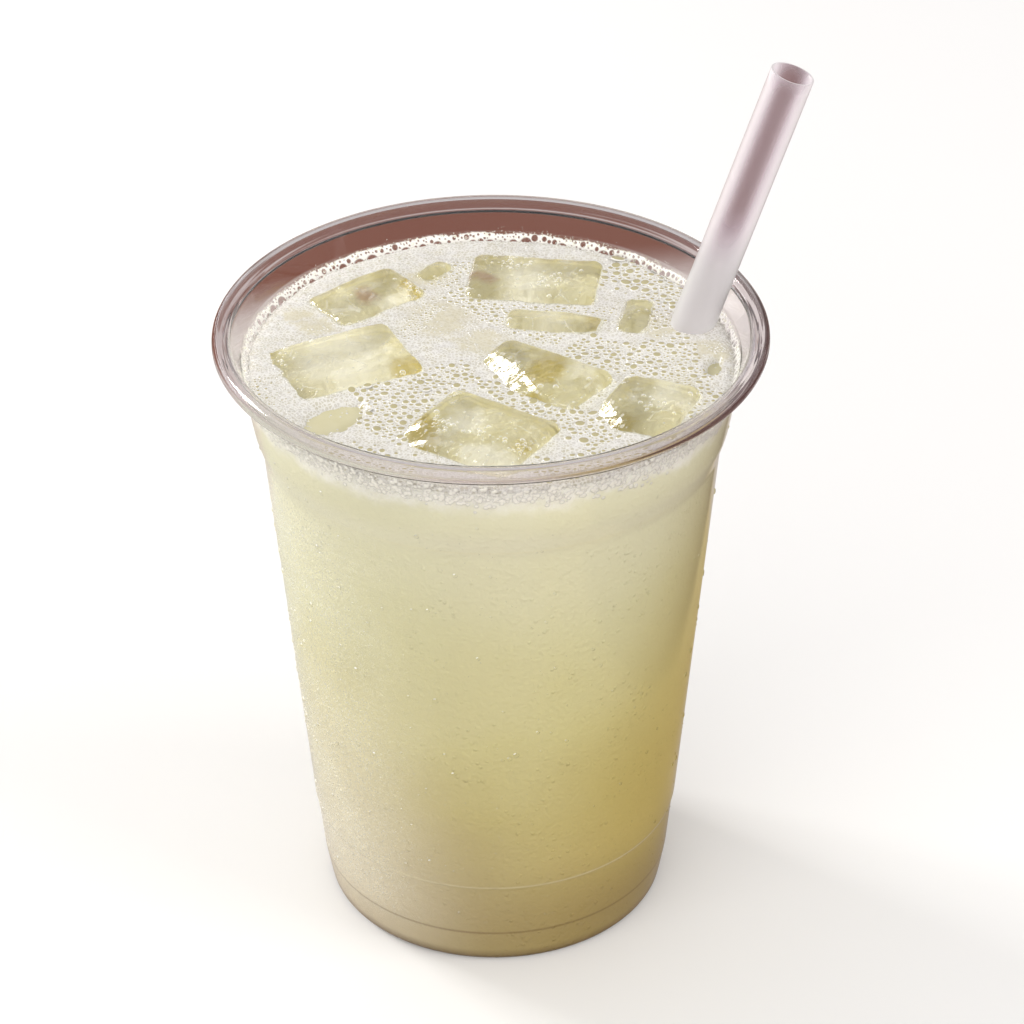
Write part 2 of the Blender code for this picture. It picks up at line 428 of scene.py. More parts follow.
def mark_edges(mesh):
    """Writes an attribute that is 1 where the skin bends outwards sharply, and 0 where it is flat."""
    ends = np.empty(len(mesh.edges) * 2, int)
    mesh.edges.foreach_get("vertices", ends)
    ends, points, ways = ends.reshape(-1, 2), places(mesh), normals(mesh)
    bend, count = np.zeros(len(points)), np.zeros(len(points))
    for here, there in (ends.T, ends.T[::-1]):
        step = points[here] - points[there]
        np.add.at(bend, here, (step * ways[here]).sum(1) / np.linalg.norm(step, axis=1))
        np.add.at(count, here, 1)
    bend /= count
    edge = ((bend - FLAT_BEND) / (SHARP_BEND - FLAT_BEND)).clip(0, 1)
    mesh.attributes.new("edge", "FLOAT", "POINT").data.foreach_set("value", edge)


ice_meshes = {}
for name in ICE_NAMES:
    mesh = block(name, ("REMESH", {"mode": "VOXEL", "voxel_size": SKIN}),
                 ("SMOOTH", {"factor": 0.6, "iterations": 3}))
    move_to(mesh, melt(press_facets(name, places(mesh)), normals(mesh)))
    mark_edges(mesh)
    ice_meshes[name] = mesh
print("ice:", {name: len(mesh.vertices) for name, mesh in ice_meshes.items()})

# %% [markdown]
# Ice is clear at the edges and milky inside, where air froze into it last. The clear part is a Principled
# shader with transmission and the refraction of ice, under a wet coat. Frosty patches and thin veins mix in
# a pale surface, so that parts of a block look dull and parts look glassy. The same pale surface is also a
# painted highlight on the flanks of each edge, where the skin bends. A fine dark line of painted shade runs
# where a block leaves the froth, and along the crests of its sharpest edges. Meltwater has left grooves. A
# coat doesn't follow the relief below it, so the grooves also break the coat, and with it the reflections.

# %% Give the ice its finish
ice_finish = Finish("ice", Base_Color=rgb(252, 252, 246), Roughness=0.03, IOR=1.31, Transmission_Weight=1.0,
                    Coat_Weight=1.0, Coat_Roughness=0.02, Coat_IOR=1.6)
place = ice_finish.place()
edge = ice_finish.attribute("edge")
frost_and_edge_highlight = ice_finish.cloud(5, 4, 0.6).span(0.52, 0.82, 0.0, 0.4)
veins = ice_finish.cells(6, "DISTANCE_TO_EDGE").span(0.03, 0.0) * ice_finish.cloud(3, 2).span(0.5, 0.65)
# painted highlight: a pale line on the flanks of each edge joins the frost and the veins
frost_and_edge_highlight = frost_and_edge_highlight + (edge.line_at(0.35, 0.35) * 0.6 + veins * 0.3) * (1 - frost_and_edge_highlight)
frosted_and_highlit_ice = frost_and_edge_highlight.blend(ice_finish.own, ice_finish.wet(rgb(240, 238, 226), 0.12))
# painted shade: a dark line at the waterline and on the crests of the edges
painted_shade_lines = place.axis("Z").line_at(111.3, 0.25) * 0.5 * (1 - edge) + edge.span(0.6, 0.95) * 0.4
shaded_ice = painted_shade_lines.blend(frosted_and_highlit_ice, ice_finish.dull(rgb(150, 138, 92)))
ice_finish.lets_light_in(rgb(250, 250, 240), shaded_ice)

# Grooves along the slope of the worn corners
DOWN_SLOPE, ACROSS_SLOPE = Vector((-0.88, -0.47, 0)) * 0.4, Vector((-0.47, 0.88, 0)) * 1.3
WORN_WAY = (-0.48, -0.25, 0.84)
slope_place = ice_finish.node("CombineXYZ", {}, {"X": place.dot(DOWN_SLOPE), "Y": place.dot(ACROSS_SLOPE)})
grooves = ice_finish.cloud(1, 2, place=slope_place).span(0.5, 0.58)
ice_finish.wear(Coat_Weight=1 - grooves * 0.97)
grooves = grooves * ice_finish.normal().dot(WORN_WAY).span(0.9, 0.97)
ice_finish.bump(ice_finish.cloud(2.2, 3) + ice_finish.cloud(0.9, 2) * 0.25 + grooves * 1.2, 0.12)
for name, mesh in ice_meshes.items():
    mesh.materials.clear()
    mesh.materials.append(ice_finish.material)
    mesh.shade_smooth()
    adopt(bpy.data.objects.new(name + "_block", mesh), "ice", name)

# %% [markdown]
# ## The juice
# Sugarcane juice is cloudy: fine solids scatter the light a few millimetres deep. The body of juice is the
# inside of the cup, pushed a little into the plastic so that no air gap shows, and filled to the level of the
# solid. The blocks of ice sit in pockets. A Boolean cuts them with forms a little smaller than the ice, so
# the juice reaches just into each block, and again no gap shows.

# %% Turn the body of juice
INTO_WALL = 0.25 * MM
INTO_ICE = 0.4 * MM
EDGE_DIP = 1.5 * MM  # how much lower the juice is at the rear wall, where clear bubbles take its place
BACK_FROM, BACK_SOFT = -16, 14  # mm: the y where the back begins, and how far the change takes
TOP_GAP = 0.3 * MM  # keeps the rings of the wall clear of the ring at the top
juice_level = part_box("juice")[1].z


def pushed(profile, distance):
    """A profile moved to its left, which is outwards on the inner side of the cup."""
    along = np.gradient(profile, axis=0)
    along /= np.linalg.norm(along, axis=1)[:, None]
    moved = profile + np.stack([-along[:, 1], along[:, 0]], 1) * distance
    return np.stack([moved[:, 0].clip(0), moved[:, 1]], 1)


filled = pushed(cup_profile[cup_profile[:, 1].argmax():], INTO_WALL)
filled = filled[filled[:, 1] < 0.98 * cup_profile[:, 1].max()]


def wall_radius(height):
    """How far from the axis a filling at this height reaches, in or just into the wall."""
    return np.interp(height, filled[::-1, 1], filled[::-1, 0])


def at_the_back(y):
    """1 at the back and the sides of the cup, 0 at its front."""
    return np.clip((np.asarray(y) / MM - BACK_FROM) / BACK_SOFT, 0, 1)


top_rings = [(share * wall_radius(juice_level), juice_level) for share in (0, 0.3, 0.6, 0.8, 0.93)]
top_rings.append((wall_radius(juice_level), juice_level))
juice_profile = np.concatenate([top_rings, filled[filled[:, 1] < juice_level - EDGE_DIP - TOP_GAP]])
juice_profile[-1, 0] = 0
juice_points, juice_faces = turned(juice_profile)
edge_ring = juice_points[(len(top_rings) - 1) * FINE_SIDES:len(top_rings) * FINE_SIDES]
edge_ring[:, 2] -= EDGE_DIP * at_the_back(edge_ring[:, 1])
print("juice to", round(juice_level / MM, 2), "mm, radius", round(wall_radius(juice_level) / MM, 2), "mm")

# %% [markdown]
# A pocket is only a few millimetres deep, because below that nothing is seen through cloudy juice. Its
# walls and floor are what shows through the clear ice, so they get a finish of their own, which a Boolean
# carries over from its cutter: yellow-green juice, browner in places, darker in spots of painted shade where
# the ice looks deepest, and pale clouds where the heart of the block is milky. Cloudy juice also scatters
# light into a pocket from all round. A weak painted glow stands for it, strongest on steep walls, on the left
# and under the small pieces that float high, where the juice is also painted paler, as painted light.

# %% Give the pockets their finish
# Spots on the floor of the pockets in mm: x, y, radius
MILKY = (
    (-27, 2, 12), (7, 29, 7), (17, -4.5, 4), (-2, -32, 7), (-4, -20.5, 4.8), (31, -13, 5), (-17, 21, 5.5),
    (7, -13, 3.5), (10, 12, 5), (30, 13, 5), (-8, 30, 3),
)
# Spots of painted shade, where the ice looks deepest
SHADED_SPOTS = (
    (-15.5, -2.2, 4.5), (-11.5, -24, 4), (19, 12.5, 3), (9.5, -4, 4.5), (6, -29, 4), (-15, 26, 3),
    (22, -20, 3.5),
)
# Spots of painted light: paler juice and more glow under the small pieces that float high
LIT_SPOTS = ((6, 12.5, 7), (15, 12, 8), (25.9, 14.5, 8), (-10.2, 31.5, 7), (-28.5, 21, 7))
BROWN = ((-0.6, 29.6, 2.8), (-22.4, 23.8, 3.0), (3, 20.5, 1.2))

pocket_finish = Finish("juice_under_ice", Roughness=0.5, Emission_Strength=0.34)
heart = pocket_finish.near(*MILKY) * pocket_finish.cloud(3, 4, 0.6).span(0.3, 0.6, 0.7, 1.0)
lit_spots = pocket_finish.near(*LIT_SPOTS, sway=1) * pocket_finish.cloud(2.2, 3, 0.6).span(0.35, 0.62, 0.3, 1.0)
hue = pocket_finish.cloud(6, 3).span(0.35, 0.65).mix(rgb(202, 194, 152), rgb(212, 206, 173))
# Painted shade darkens the shaded spots, and painted light makes the lit spots paler
for where, colour in (
    (pocket_finish.near(*SHADED_SPOTS), rgb(182, 166, 92)),
    (pocket_finish.near(*BROWN, sway=1.5) * 0.8, rgb(180, 148, 124)),
    (heart, rgb(236, 233, 218)),
    (lit_spots * 0.55, rgb(232, 228, 206)),
):
    hue = where.mix(hue, colour)
steep = pocket_finish.normal().axis("Z").span(0.9, 0.5)
left = pocket_finish.place().axis("X").span(12, -24, 0, 0.18)
glow = (steep * 0.33 + 0.1) * (1 - left) + left + lit_spots * 0.36
pocket_finish.wear(Base_Color=hue, Emission_Color=glow.mix((0, 0, 0), hue))
pocket_finish.bump(pocket_finish.cloud(2.5, 3), 0.8)
print("nodes under the ice:", len(pocket_finish.tree.nodes))

# %% [markdown]
# A cutter is the solid of its block, drawn in a little and pressed at the same worn corners. It is cut short
# below: deepest in the middle, and rising towards the sides.

# %% Make the cutters for the pockets
POCKET_DEPTH = 3.2 * MM
POCKET_GAP = 0.1 * MM
cutters = []
for name in ICE_NAMES:
    mesh = block(name)
    shape = bmesh.new()
    shape.from_mesh(mesh)
    bmesh.ops.subdivide_edges(shape, edges=shape.edges, cuts=3, use_grid_fill=True)
    shape.to_mesh(mesh)
    shape.free()
    points = press_facets(name, places(mesh) - normals(mesh) * INTO_ICE)
    flat = points[:, :2] - points[:, :2].mean(0)
    flat = flat @ np.linalg.svd(flat, full_matrices=False)[2].T
    share = np.abs(flat / np.abs(flat).max(0)).max(1)  # 0 in the middle of the block, 1 at its sides
    points[:, 2] = np.maximum(points[:, 2], juice_level - POCKET_DEPTH * (1 - 0.75 * share ** 3))
    move_to(mesh, points - np.array([0, 0, POCKET_GAP]))
    mesh.materials.clear()
    mesh.materials.append(pocket_finish.material)
    cutters.append(bpy.data.objects.new(name + "_cutter", mesh))
print("cutters:", len(cutters))


def cut_out(piece, cutters):
    """Takes the cutters out of a piece with Boolean modifiers, and keeps the result as its mesh."""
    for cutter in cutters:
        bpy.context.scene.collection.objects.link(cutter)
        cut = piece.modifiers.new(cutter.name, "BOOLEAN")
        cut.operation, cut.solver, cut.object = "DIFFERENCE", "EXACT", cutter
        cut.material_mode = "TRANSFER"
    graph = bpy.context.evaluated_depsgraph_get()
    result = bpy.data.meshes.new_from_object(piece.evaluated_get(graph))
    piece.modifiers.clear()
    piece.data = result
    for cutter in cutters:
        bpy.context.scene.collection.objects.unlink(cutter)


# %% [markdown]
# The colour of the juice changes slowly, and much of it is painted light and shade. Painted light makes it
# palest below the froth, and painted shade darker towards the bottom. Painted shade, with a painted
# reflection of the brown surroundings, makes it golden towards the lower right, and darker still low on the
# right. On the left, painted light from the window joins the milky whitening of the mist. Painted shade makes
# it brownish at the heel, where only the table's light reaches. The cup's rings show in it as faint lines of
# painted highlight, and a paler band of painted light lies on the shoulder, which faces down. Where the froth
# leaves the juice bare its top is duller. Against the wall just below the froth hangs a fringe of foam, which
# a soft noisy edge and small cells draw.

# %% Give the juice its finish
juice_finish = Finish("cane_juice", Roughness=0.22, IOR=1.35)
place = juice_finish.place()
across, height = place.axis("X"), place.axis("Z")
drift = (juice_finish.cloud(28, 3) - 0.5) * 26
# painted light and shade: palest at the top, below the froth, and darker towards the bottom
body = juice_finish.ramp(
    (height + drift).span(4, 108),
    (0.0, rgb(188, 174, 128)), (0.22, rgb(204, 194, 136)), (0.5, rgb(216, 210, 158)),
    (0.8, rgb(223, 220, 182)), (1.0, rgb(229, 227, 199)))
for where, colour in (
    # painted shade, with a painted reflection of the brown surroundings: golden to the lower right
    ((across - height * 0.45).span(-16, 22, 0, 0.85), rgb(201, 183, 106)),  # golden
    (height.span(26, 6) * across.span(-24, 30) * 0.55, rgb(124, 100, 58)),  # in the drink's own shade
    # paler on the left: painted light from the window, as well as the whitening of the mist
    (height.span(80, 20) * across.span(0, -32) * 0.7, rgb(235, 228, 207)),  # behind the mist
    # painted shade at the heel
    (height.line_at(7.3, 0.45) * 0.5 + height.span(3.0, 0.8) * 0.6, rgb(108, 84, 48)),  # heel
    # painted highlights along the cup's mould rings
    (height.line_at(18.9, 0.45) * 0.5 + height.line_at(96.7, 0.4) * 0.35, rgb(232, 226, 186)),  # rings
    # painted light on the shoulder, which faces down
    (height.line_at(98.5, 4.5) * 0.45, rgb(240, 238, 216)),  # shoulder
):
    body = where.mix(body, colour)
from_axis = (place * (1.0, 1.0, 0.0)).distance((0.0, 0.0, 0.0))
by_wall = (from_axis - height * 0.11).span(28.5, 30.0)
fringe = (height + (juice_finish.cloud(5, 3) - 0.5) * 7).span(105.0, 109.0) * by_wall
fringe = fringe * (1 - juice_finish.cells(0.9, "DISTANCE_TO_EDGE").span(0.02, 0.22, 0.0, 0.18))
bare_top = juice_finish.cloud(4, 3).mix(rgb(202, 195, 152), rgb(216, 211, 180))
body = (height.span(110.0, 110.4) * (1 - by_wall)).mix(body, bare_top)
juice_finish.wear(Base_Color=fringe.mix(body, rgb(248, 247, 238)))
marks = juice_finish.cells(1.5).span(0.3, 0.12) * juice_finish.cloud(12, 3).span(0.42, 0.6)
marks = marks * height.span(100, 90) * by_wall
relief = juice_finish.cloud(0.5, 2) * fringe + marks * 1.2 + juice_finish.cloud(0.9, 3) * by_wall * 2.4
juice_finish.bump(relief, 0.1)
juice = clean(new_piece("juice_body", juice_points, juice_faces, juice_finish, "cane_juice", "juice"))
cut_out(juice, cutters)
print("juice with pockets:", len(juice.data.polygons), "faces")

# %% [markdown]
# ## The froth
# Froth is a thin layer of foam on the juice. Its sheet is a grid of rings and spokes, a fine one, whose
# height is worked out point by point: lumps where bubbles are heaped, a slope down to the wall at the back, a
# lip where it climbs the ice, and two places where it is drawn aside and the bare juice shows. A mesh made
# this way has even faces, which relief needs.

# %% Work out the height of the froth
FROTH_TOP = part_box("froth")[1].z
FROTH_LEVEL = FROTH_TOP - 1.0 * MM
WALL_DIP = 1.8 * MM
LUMPS = ((0.22 * MM, 5.0 * MM), (0.12 * MM, 1.6 * MM), (0.06 * MM, 0.7 * MM))
BARE = (((-27.4, -20.2), (6.2, 3.9), 40), ((39.0, -4.4), (3.2, 1.3), 80))  # middle, half size, turn
LIP_RISE, LIP_REACH = 0.2 * MM, 0.5 * MM  # where the froth climbs the ice
WALL_REACH = 1.5 * MM  # how far from the wall the dip begins


def form_of(mesh):
    """A searchable copy of a mesh, which finds the nearest point or where a ray meets it."""
    return BVHTree.FromPolygons([v.co for v in mesh.vertices], [f.vertices[:] for f in mesh.polygons])


ice_forms = [form_of(mesh) for mesh in ice_meshes.values()]


def to_ice(x, y):
    """How far a place in the froth is from the nearest ice."""
    return min(form.find_nearest(Vector((x, y, FROTH_LEVEL)))[3] for form in ice_forms)


def bareness(x, y):
    """1 where the juice lies bare, 0 in the froth, for a place in metres."""
    most = 0
    for (cx, cy), (a, b), turn in BARE:
        c, s = math.cos(math.radians(turn)), math.sin(math.radians(turn))
        dx, dy = x / MM - cx, y / MM - cy
        wobble = 0.25 * noise.noise(Vector((x, y, 0)) / (2.2 * MM))
        reach = math.hypot((dx * c + dy * s) / a, (dy * c - dx * s) / b) + wobble
        most = max(most, min(max((1.25 - reach) / 0.35, 0), 1))
    return most


def froth_height(x, y):
    spot = Vector((x, y, 0))
    top = FROTH_LEVEL + sum(lift * noise.noise(spot / size) for lift, size in LUMPS)
    to_wall = wall_radius(FROTH_LEVEL) - math.hypot(x, y)
    top -= WALL_DIP * at_the_back(y) * math.exp(-((to_wall / WALL_REACH) ** 2))
    top += LIP_RISE * math.exp(-to_ice(x, y) / LIP_REACH)
    bare = bareness(x, y)
    return top * (1 - bare) + (juice_level - 0.15 * MM) * bare


print("froth at the middle:", round(froth_height(0, 0.003) / MM, 2), "mm")

# %% Build the sheet of froth
RINGS, SPOKES = 88, 480
froth_foot = juice_level - TOP_GAP
angles = np.arange(SPOKES) * 2 * math.pi / SPOKES
sheet = np.empty((RINGS + 4, SPOKES, 3))
for ring in range(RINGS + 1):
    reach = (ring / RINGS) ** 0.9 * wall_radius(FROTH_LEVEL - WALL_DIP)  # closer rings near the wall
    for spoke, angle in enumerate(angles):
        x, y = reach * math.cos(angle), reach * math.sin(angle)
        sheet[ring, spoke] = x, y, froth_height(x, y) if ring else FROTH_LEVEL
for ring, reach, level in ((1, wall_radius(froth_foot), froth_foot - EDGE_DIP),
                           (2, 0.93 * wall_radius(froth_foot), froth_foot), (3, 0, froth_foot)):
    sheet[RINGS + ring, :, 0], sheet[RINGS + ring, :, 1] = reach * np.cos(angles), reach * np.sin(angles)
    sheet[RINGS + ring, :, 2] = level
sheet[RINGS + 1, :, 2] += EDGE_DIP * (1 - at_the_back(sheet[RINGS + 1, :, 1]))
print("sheet:", sheet.shape[0] * sheet.shape[1], "points")

# %% [markdown]
# The froth is white with a fine grain of films, and creamier and smoother in patches. The cutters of the
# pockets cut it as well, so it ends where the ice begins.

# %% Give the froth its finish
CREAMY = (  # spots in mm: x, y, radius
    (-9, 13, 9), (-11, 27.5, 6), (-2, 5, 6), (31, 9, 5), (-31, 10, 5), (33, -9.5, 3.5), (39, 1, 5),
    (-35, 15, 4),
)
froth_finish = Finish("froth", Roughness=0.25, IOR=1.35, Coat_Weight=0.4, Coat_Roughness=0.08)
patches = froth_finish.near(*CREAMY, sway=4)
foaminess = 1 - patches * 0.7
grain = froth_finish.cells(0.65, "DISTANCE_TO_EDGE")
films = grain.span(0.2, 0.05) * foaminess * 0.75
white = froth_finish.cloud(2.2, 4).span(0.3, 0.7).mix(rgb(211, 208, 202), rgb(199, 194, 176))
creamy = froth_finish.cloud(3.5, 4).mix(rgb(200, 192, 160), rgb(212, 207, 188))
froth_finish.wear(Base_Color=films.mix(patches.mix(white, creamy), rgb(238, 237, 233)))
froth_finish.bump(grain * foaminess * 0.6 + froth_finish.cloud(1.1, 3) * 0.5, 0.16)
froth = clean(new_piece("froth_sheet", *stitched(sheet), froth_finish, "froth", "froth"))
cut_out(froth, cutters)
for cutter in cutters:
    bpy.data.objects.remove(cutter)
print("froth with pockets:", len(froth.data.polygons), "faces")

# %% [markdown]
# ## Bubbles
# Foam is a crowd of bubbles: big ones first, and smaller ones in the gaps, until every gap is full. A map of
# free room does this fast. Each cell of the map keeps its distance to the nearest bubble. A new bubble lands
# on a random spot, grows to the size that was drawn for it or until it touches a neighbour, and the map is
# brought up to date round it.

# %% The map of free room
CELL = 0.1 * MM
MAP_HALF = 46 * MM
OVERLAP = 1.08
LARGEST = 1.6 * MM  # no bubble has a larger radius
luck = np.random.default_rng(SEED)
map_side = int(2 * MAP_HALF / CELL)
free_room = np.full((map_side, map_side), 5 * MM)


def claim(x, y, wanted, least):
    """The radius that a bubble can have here, after it has taken its room, or 0 if it has none."""
    col, row = int((x + MAP_HALF) / CELL), int((y + MAP_HALF) / CELL)
    radius = min(wanted, free_room[row, col] * OVERLAP)
    if radius < least:
        return 0
    reach = int((radius + LARGEST) / CELL)
    rows, cols = np.arange(row - reach, row + reach + 1), np.arange(col - reach, col + reach + 1)
    rows, cols = rows[(rows >= 0) & (rows < map_side)], cols[(cols >= 0) & (cols < map_side)]
    away = np.hypot(cols[None, :] * CELL - MAP_HALF - x, rows[:, None] * CELL - MAP_HALF - y) - radius
    patch = free_room[rows[0]:rows[-1] + 1, cols[0]:cols[-1] + 1]
    np.minimum(patch, away.clip(0), out=patch)
    return radius


print("map of", map_side, "x", map_side, "cells")

# %% [markdown]
# Foam is coarse in strips, mostly in the channels between blocks. The strips and the biggest bubbles are
# listed. In a strip the bubbles that are tried first may be large, and later ones are ever smaller.

# %% Coarse bubbles
# Strips of coarse foam in mm: from, to, width, smallest and largest radius, tries
STRIPS = (
    ((-22.7, -14.0), (-3.7, -6.5), 5.0, 0.29, 0.90, 1200),
    ((-19.9, -25.6), (-12.3, -17.5), 6.5, 0.29, 0.95, 1040),
    ((-18.0, -14.5), (-14.0, -20.0), 7.0, 0.29, 0.90, 960),
    ((-0.2, -9.3), (4.9, -14.5), 3.4, 0.25, 0.90, 480),
    ((4.9, -14.5), (13.0, -21.0), 4.0, 0.29, 1.06, 640),
    ((13.0, -21.0), (20.0, -28.9), 4.0, 0.29, 1.06, 720),
    ((14.8, 2.4), (26.1, -3.7), 5.0, 0.25, 0.90, 1040),
    ((26.1, -3.7), (38.1, -9.4), 4.4, 0.25, 0.84, 880),
    ((24.5, -1.0), (36.0, -0.5), 5.5, 0.25, 0.95, 880),
    ((23.5, 32.0), (31.0, 25.5), 7.0, 0.34, 1.10, 720),
    ((31.0, 25.5), (36.5, 17.0), 5.0, 0.29, 0.90, 720),
    ((-6.4, 22.5), (1.7, 12.2), 3.4, 0.23, 0.67, 720),
    ((1.7, 12.2), (12.3, 4.6), 2.8, 0.23, 0.62, 720),
    ((-9.0, 24.5), (-5.0, 33.0), 3.4, 0.21, 0.56, 480),
    ((4.0, 16.2), (22.0, 14.6), 2.2, 0.21, 0.56, 640),
    ((27.5, 20.0), (31.0, 9.0), 3.0, 0.21, 0.67, 560),
    ((33.0, -21.0), (37.5, -13.0), 3.4, 0.23, 0.78, 480),
    ((8.0, -39.0), (26.0, -33.5), 5.0, 0.25, 0.84, 720),
    ((-28.0, -31.5), (-14.0, -38.5), 4.5, 0.25, 0.78, 720),
    ((-42.0, -8.0), (-38.5, -16.5), 3.4, 0.18, 0.50, 400),
    ((-16.0, 6.5), (-10.0, 17.5), 2.6, 0.16, 0.45, 480),
)
REACH = 43  # mm from the axis, beyond which a strip has no bubbles
SPREAD = 0.36  # how far bubbles stray from the middle of a strip, as a share of its width
# Single big bubbles in mm: x, y, radius
BIG = (
    (23.5, 34.2, 1.45), (24.6, 25.2, 1.1), (28.1, 25.2, 0.9), (25.5, 29.3, 0.9), (29.9, 30.0, 0.75),
    (32.3, 26.9, 0.7), (29.8, 22.5, 0.6), (27.4, 31.8, 0.65), (7.2, -16.2, 0.95), (9.7, -17.9, 0.85),
    (15.1, -23.6, 1.0), (17.6, -27.2, 0.8), (29.2, -0.6, 0.85), (12.2, -19.9, 0.7), (-14.8, -16.0, 0.7),
    (-17.4, -22.3, 0.75), (-9.4, -9.1, 0.65), (22.2, -2.3, 0.65), (33.6, -5.6, 0.6),
)


def within(low, high):
    return low + (high - low) * luck.random()


crowd = []  # x, y, radius


def add_bubble(x, y, wanted, least):
    radius = claim(x, y, wanted, least)
    if radius:
        crowd.append((x, y, radius))


for x, y, radius in BIG:
    add_bubble(x * MM, y * MM, radius * MM, 0.3 * MM)
for start, end, width, small, large, tries in STRIPS:
    strip = np.subtract(end, start)
    side = np.array((-strip[1], strip[0])) / math.hypot(*strip)
    for attempt in range(tries):
        share = within(-0.04, 1.04)
        x, y = start + share * strip + side * width * SPREAD * luck.normal()
        if math.hypot(x, y) > REACH:
            continue
        shrinking = 1 - 0.9 * attempt / tries
        wanted = small + (large - small) * shrinking * within(0.35, 1)
        add_bubble(x * MM, y * MM, wanted * MM, small * 0.8 * MM)
print("coarse bubbles:", len(crowd))

# %% [markdown]
# Between the strips the froth is fine. Its bubbles come in patches: none where the froth is creamy and
# smooth, more against the ice, where the foam clings, and most near the wall.

# %% Fine bubbles
FINE_TRIES = 30000
for attempt in range(FINE_TRIES):
    x, y = within(-43.3, 43.3) * MM, within(-43.3, 43.3) * MM
    from_middle = math.hypot(x, y)
    if from_middle > wall_radius(juice_level) - 0.5 * MM:
        continue
    patch = noise.noise(Vector((x, y, 0.03)) / (6 * MM))
    patch += 0.35 * noise.noise(Vector((x, y, 0.05)) / (1.7 * MM))
    by_ice = to_ice(x, y) < 0.5 * MM
    chance = 0.02 + patch + 0.5 * by_ice + 0.35 * (from_middle > 38 * MM)
    if luck.random() < chance:
        add_bubble(x, y, within(0.1, 0.26) * MM, 0.09 * MM)

# Bubbles that gathered on the ice, in mm: x, y, how far they spread, how many
CLUSTERS = (
    (-8.5, -26.6, 1.6, 60), (5.6, -34.6, 1.6, 50), (-13.4, 21.2, 1.7, 50), (4.2, 30.6, 1.6, 50),
    (-11.0, -20.0, 0.8, 16), (19.6, -14.6, 1.3, 36), (22.0, -10.6, 0.8, 18), (-37.5, -2.0, 1.5, 30),
    (17.6, -19.4, 1.1, 26), (-5.8, -16.6, 0.6, 12), (10.5, 24.0, 2.0, 30), (-33.0, 3.5, 1.2, 20),
    (26.5, -20.0, 2.2, 24), (-1.0, -30.5, 2.0, 20),
)
first_clustered = len(crowd)
for cx, cy, far, count in CLUSTERS:
    for _ in range(count):
        x, y = (cx + far * luck.normal()) * MM, (cy + far * luck.normal()) * MM
        add_bubble(x, y, within(0.12, 0.5) * MM, 0.1 * MM)
clustered = np.arange(len(crowd)) >= first_clustered
crowd = np.array(crowd)
print("bubbles in all:", len(crowd))

# %% [markdown]
# Each bubble is a dome that sits on whatever is below it. A ray that is shot straight down finds the froth,
# the juice or the ice, and the way that its surface faces. The domes are written into a few large meshes with
# numpy, because thousands of separate objects would be slow. A value called rim is 1 at the foot of a dome
# and falls to 0 a little way in, equally far for small and large ones. The finish uses it: the film looks
# clear from above and white at the edge. On the clear ice most bubbles are left out, apart from the clusters.

# %% Land the bubbles
surfaces = [(form_of(froth.data), False), (form_of(juice.data), False)] + [(form, True) for form in ice_forms]


def landing(x, y):
    """The highest surface under a spot: its place, the way it faces, and if it is ice."""
    start, down = Vector((x, y, FROTH_TOP + 6 * MM)), Vector((0, 0, -1))
    hits = [(*form.ray_cast(start, down)[:2], icy) for form, icy in surfaces]
    return max((hit for hit in hits if hit[0] is not None), key=lambda hit: hit[0].z)


FILM_EDGE = 0.3 * MM  # width of the white edge of a bubble
KEPT_ON_ICE = 0.06  # share of the bubbles that stay on the clear ice, besides the clusters


def spot_at(turn, from_axis, height):
    """A place given by its angle round the axis."""
    return from_axis * math.cos(turn), from_axis * math.sin(turn), height


def dome(rings, sides, squash):
    """A unit dome: points, triangles, and how far from the middle each point is."""
    points, rim = [(0, 0, squash)], [0.0]
    for ring in range(1, rings + 1):
        lean = (ring / rings) ** 0.8 * math.pi / 2
        for side in range(sides):
            turn = 2 * math.pi * (side + 0.5 * (ring % 2)) / sides
            points.append(spot_at(turn, math.sin(lean), squash * math.cos(lean)))
            rim.append(math.sin(lean))
    faces = [(0, 1 + side, 1 + (side + 1) % sides) for side in range(sides)]
    for ring in range(rings - 1):
        low = 1 + ring * sides
        shift = ring % 2
        for side in range(sides):
            a, b = low + side, low + (side + 1) % sides
            c, d = a + sides, low + sides + (side + 1) % sides
            faces += [(a, c, b), (b, c, d)] if shift else [(a, c, d), (a, d, b)]
    return np.array(points), np.array(faces), np.array(rim)


def many(form, middles, ways, radii):
    """Copies of a form, each moved, sized and turned to face a way, with a rim value of 1 at the edge."""
    points, faces, rim = form
    ways = ways / np.linalg.norm(ways, axis=1)[:, None]
    side = np.cross(ways, np.where(np.abs(ways[:, 2:]) > 0.9, (1.0, 0, 0), (0, 0, 1.0)))
    side /= np.linalg.norm(side, axis=1)[:, None]
    frames = np.stack([side, np.cross(ways, side), ways], 1)
    to_edge = (1 - rim)[None] * radii[:, None]
    placed = np.einsum("pk,nkc->npc", points, frames) * radii[:, None, None] + middles[:, None]
    stacked = faces[None] + (np.arange(len(middles)) * len(points))[:, None, None]
    return placed.reshape(-1, 3), stacked.reshape(-1, 3), (1 - to_edge / FILM_EDGE).clip(0, 1).ravel()


def new_crowd(name, form, copies, finish, slot="froth"):
    """Makes one piece of many copies of a form. A copy is a middle, the way that it faces, and a radius."""
    points, faces, rim = many(form, *(np.array(values) for values in zip(*copies)))
    new_piece(name, points, faces, finish, slot, rim=rim)


def wall_noise(turn, layer, scale):
    """Noise that runs on without a seam round the wall."""
    return noise.noise(Vector(spot_at(turn, 1.0, layer)) * scale)


spots, ways, on_ice = (np.array(found) for found in zip(*(landing(x, y) for x, y, _ in crowd)))
radii = crowd[:, 2]
kept = ~on_ice | clustered | (luck.random(len(crowd)) < KEPT_ON_ICE)
print("bubbles on ice:", int((on_ice & kept).sum()))

